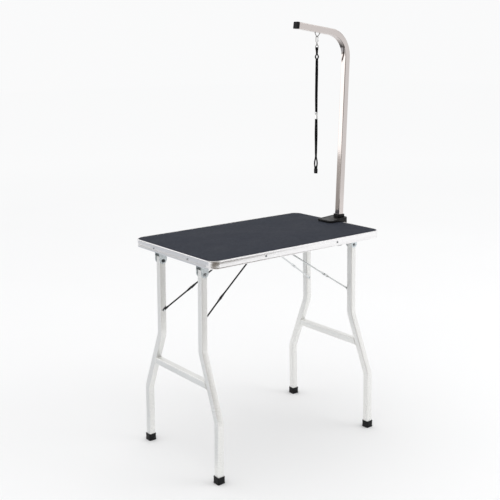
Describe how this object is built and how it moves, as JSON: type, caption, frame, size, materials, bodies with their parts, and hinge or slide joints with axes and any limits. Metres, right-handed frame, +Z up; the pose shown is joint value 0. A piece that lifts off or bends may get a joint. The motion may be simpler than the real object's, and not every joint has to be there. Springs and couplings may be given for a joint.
{
  "type": "folding pet grooming table",
  "caption": "Folding grooming table: matted top with a metal edge band, bent tube legs, hinged rod braces, and a clamp-on arm that carries a hanging noose.",
  "frame": {"origin": "on the floor, under the middle of the whole outline, clamp-on arm included", "axes": "+X along the long side towards the clamped arm, +Y across the table, +Z up"},
  "size_m": [0.873, 0.5042, 1.6045],
  "materials": {
    "mat": "pebbled bluish black rubber, matt",
    "board": "fibreboard with a plain sealed underside",
    "band": "satin aluminium with a bright rolled lip",
    "leg_coat": "silver-white powder coat, satin",
    "zinc": "zinc plated, slightly blue",
    "rod_steel": "bright drawn rod, plated",
    "stainless": "polished stainless tube",
    "clamp_black": "black moulded nylon with a satin sheen",
    "black_plastic": "black moulded plastic",
    "webbing": "black woven nylon webbing",
    "hook_chrome": "nickel plated, bright"
  },
  "bodies": {
    "table_top": {"tabletop_board": "board", "rubber_mat": "mat", "edge_band": "band", "band_screw_front_left": "zinc", "band_screw_front_right": "zinc", "band_screw_back_left": "zinc", "band_screw_back_right": "zinc", "band_screw_left_front": "zinc", "band_screw_left_back": "zinc", "band_screw_right_front": "zinc", "band_screw_right_back": "zinc", "hinge_bracket_left_front": "zinc", "hinge_bracket_left_back": "zinc", "hinge_bracket_right_front": "zinc", "hinge_bracket_right_back": "zinc", "hinge_bolt_left_front": "zinc", "hinge_bolt_left_back": "zinc", "hinge_bolt_right_front": "zinc", "hinge_bolt_right_back": "zinc", "brace_saddle_left": "zinc", "brace_saddle_right": "zinc", "clamp_body": "clamp_black", "mast_sleeve": "clamp_black"},
    "left_leg_frame": {"leg_left_front": "leg_coat", "leg_left_back": "leg_coat", "crossbar_left": "leg_coat", "foot_left_front": "black_plastic", "foot_left_back": "black_plastic", "link_rivet_left_front": "zinc", "link_rivet_left_back": "zinc"},
    "left_lower_link_front": {"lower_link_left_front": "rod_steel"},
    "left_lower_link_back": {"lower_link_left_back": "rod_steel"},
    "left_upper_brace": {"upper_brace_left": "rod_steel"},
    "right_leg_frame": {"leg_right_front": "leg_coat", "leg_right_back": "leg_coat", "crossbar_right": "leg_coat", "foot_right_front": "black_plastic", "foot_right_back": "black_plastic", "link_rivet_right_front": "zinc", "link_rivet_right_back": "zinc"},
    "right_lower_link_front": {"lower_link_right_front": "rod_steel"},
    "right_lower_link_back": {"lower_link_right_back": "rod_steel"},
    "right_upper_brace": {"upper_brace_right": "rod_steel"},
    "clamp_pad": {"clamp_pad": "black_plastic"},
    "clamp_screw": {"clamp_screw": "zinc", "clamp_knob": "black_plastic"},
    "mast_lock": {"mast_lock_knob": "black_plastic"},
    "grooming_arm": {"grooming_arm": "stainless", "arm_end_cap": "black_plastic", "mast_bottom_plug": "black_plastic", "noose_bail": "stainless"},
    "snap_hook": {"snap_hook": "hook_chrome"},
    "snap_gate": {"snap_gate": "hook_chrome"},
    "noose": {"noose_tether": "webbing", "noose_slider": "hook_chrome", "noose_loop_left": "webbing", "noose_loop_right": "webbing", "noose_stop": "black_plastic"}
  },
  "joints": [
    {"name": "left_leg_fold", "type": "hinge", "parent": "table_top", "child": "left_leg_frame", "pos_m": [-0.38943, 0, 0.748], "axis": [0, -1, 0], "range_deg": [0, 91.06]},
    {"name": "left_link_front", "type": "hinge", "parent": "left_leg_frame", "child": "left_lower_link_front", "pos_m": [-0.39293, -0.1183, 0.55903], "axis": [0, -1, 0], "range_deg": [0, 41.03]},
    {"name": "left_link_back", "type": "hinge", "parent": "left_leg_frame", "child": "left_lower_link_back", "pos_m": [-0.39293, 0.1183, 0.55903], "axis": [0, -1, 0], "range_deg": [0, 41.03]},
    {"name": "left_brace_fold", "type": "hinge", "parent": "table_top", "child": "left_upper_brace", "pos_m": [-0.06843, 0, 0.781], "axis": [0, -1, 0], "range_deg": [-34.39, 0]},
    {"name": "right_leg_fold", "type": "hinge", "parent": "table_top", "child": "right_leg_frame", "pos_m": [0.33256, 0, 0.748], "axis": [0, 1, 0], "range_deg": [0, 85.5]},
    {"name": "right_link_front", "type": "hinge", "parent": "right_leg_frame", "child": "right_lower_link_front", "pos_m": [0.33607, -0.1183, 0.55903], "axis": [0, 1, 0], "range_deg": [0, 44.4]},
    {"name": "right_link_back", "type": "hinge", "parent": "right_leg_frame", "child": "right_lower_link_back", "pos_m": [0.33607, 0.1183, 0.55903], "axis": [0, 1, 0], "range_deg": [0, 44.4]},
    {"name": "right_brace_fold", "type": "hinge", "parent": "table_top", "child": "right_upper_brace", "pos_m": [0.01157, 0, 0.781], "axis": [0, 1, 0], "range_deg": [-31.43, 0]},
    {"name": "mast_height", "type": "slide", "parent": "table_top", "child": "grooming_arm", "axis": [0.0375, 0, 0.9993], "range_m": [-0.19, 0.05]},
    {"name": "mast_lock_turn", "type": "hinge", "parent": "table_top", "child": "mast_lock", "pos_m": [0.40949, 0.01, 0.76259], "axis": [0.9993, 0, -0.0375], "range_deg": [0, 720]},
    {"name": "clamp_pad_travel", "type": "slide", "parent": "table_top", "child": "clamp_pad", "axis": [0, 0, -1], "range_m": [0, 0.034]},
    {"name": "clamp_screw_turn", "type": "hinge", "parent": "clamp_pad", "child": "clamp_screw", "pos_m": [0.35157, 0.01, 0.75], "axis": [0, 0, 1], "range_deg": [0, 6200]},
    {"name": "hook_swing", "type": "hinge", "parent": "grooming_arm", "child": "snap_hook", "pos_m": [0.26894, 0.01, 1.5488], "axis": [1, 0, 0], "range_deg": [-45, 45]},
    {"name": "gate_press", "type": "hinge", "parent": "snap_hook", "child": "snap_gate", "pos_m": [0.26894, 0.0078, 1.5292], "axis": [-1, 0, 0], "range_deg": [0, 20], "stiffness_Nm_per_rad": 0.02},
    {"name": "noose_swing", "type": "hinge", "parent": "snap_hook", "child": "noose", "pos_m": [0.26894, 0.01, 1.5075], "axis": [0, 1, 0], "range_deg": [-13, 45]}
  ],
  "couplings": [
    {"joint": "left_link_front", "follows": "left_leg_fold", "ratio": 0.44727},
    {"joint": "left_link_back", "follows": "left_leg_fold", "ratio": 0.44727},
    {"joint": "left_brace_fold", "follows": "left_leg_fold", "ratio": -0.37432},
    {"joint": "right_link_front", "follows": "right_leg_fold", "ratio": 0.5158},
    {"joint": "right_link_back", "follows": "right_leg_fold", "ratio": 0.5158},
    {"joint": "right_brace_fold", "follows": "right_leg_fold", "ratio": -0.36412},
    {"joint": "clamp_screw_turn", "follows": "clamp_pad_travel", "rad_per_m": 3141.6}
  ]
}
